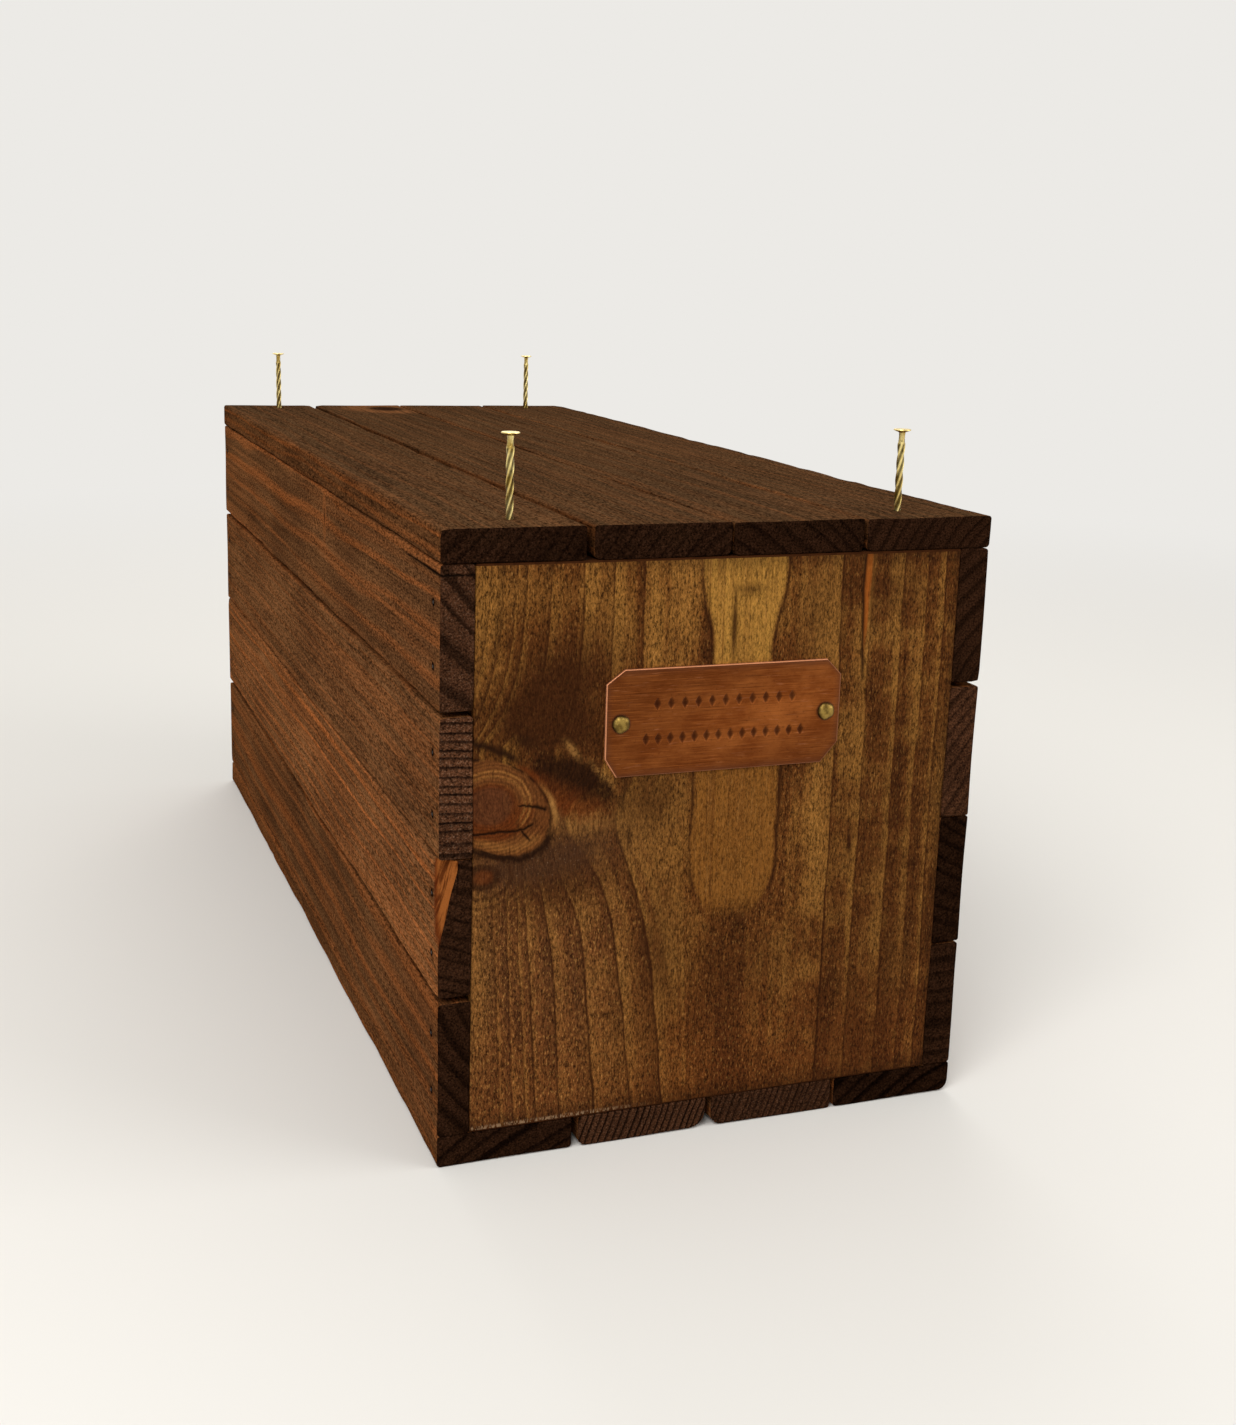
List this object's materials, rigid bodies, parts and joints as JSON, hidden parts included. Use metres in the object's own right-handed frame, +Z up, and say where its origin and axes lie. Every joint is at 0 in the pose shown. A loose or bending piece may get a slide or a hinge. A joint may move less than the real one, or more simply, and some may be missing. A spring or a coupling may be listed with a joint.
{
  "type": "wedding card box",
  "caption": "Slatted wooden keepsake box with upright end panels, a lift-off slat lid, part-driven twisted nails that close it, and a clipped-corner copper plate on the front.",
  "frame": {"origin": "bottom centre of the box, on the surface it stands on", "axes": "+Z up, +Y along the length towards the back, the end panel with the plate faces -Y, X across"},
  "size_m": [0.2076, 0.499, 0.26],
  "materials": {
    "slat_wood": "dark walnut stain, satin",
    "panel_wood": "honey-brown stained pine, satin",
    "cleat_wood": "bare pine",
    "plate_copper": "brushed copper, warm patina",
    "pin_brass": "aged brass",
    "nail_brass": "brass-plated, bright",
    "brad_steel": "dulled steel"
  },
  "bodies": {
    "box": {"left_slat_1": "slat_wood", "left_slat_2": "slat_wood", "left_slat_3": "slat_wood", "left_slat_4": "slat_wood", "right_slat_1": "slat_wood", "right_slat_2": "slat_wood", "right_slat_3": "slat_wood", "right_slat_4": "slat_wood", "bottom_slat_1": "slat_wood", "bottom_slat_2": "slat_wood", "bottom_slat_3": "slat_wood", "bottom_slat_4": "slat_wood", "end_panel_front": "panel_wood", "end_panel_back": "panel_wood", "copper_plate": "plate_copper", "plate_pin_left": "pin_brass", "plate_pin_right": "pin_brass", "left_brads": "brad_steel", "right_brads": "brad_steel", "bottom_brads": "brad_steel"},
    "lid": {"lid_slat_1": "slat_wood", "lid_slat_2": "slat_wood", "lid_slat_3": "slat_wood", "lid_slat_4": "slat_wood", "lid_cleat_front": "cleat_wood", "lid_cleat_back": "cleat_wood", "lid_brads": "brad_steel"},
    "nail_front_left": {"nail_front_left": "nail_brass"},
    "nail_front_right": {"nail_front_right": "nail_brass"},
    "nail_back_left": {"nail_back_left": "nail_brass"},
    "nail_back_right": {"nail_back_right": "nail_brass"}
  },
  "joints": [
    {"name": "lid_lift", "type": "slide", "parent": "box", "child": "lid", "axis": [0, 0, 1], "range_m": [0, 0.2]},
    {"name": "nail_front_left_drive", "type": "slide", "parent": "lid", "child": "nail_front_left", "axis": [0, 0, 1], "range_m": [-0.028, 0.033]},
    {"name": "nail_front_right_drive", "type": "slide", "parent": "lid", "child": "nail_front_right", "axis": [0, 0, 1], "range_m": [-0.028, 0.033]},
    {"name": "nail_back_left_drive", "type": "slide", "parent": "lid", "child": "nail_back_left", "axis": [0, 0, 1], "range_m": [-0.029, 0.033]},
    {"name": "nail_back_right_drive", "type": "slide", "parent": "lid", "child": "nail_back_right", "axis": [0, 0, 1], "range_m": [-0.029, 0.033]}
  ]
}
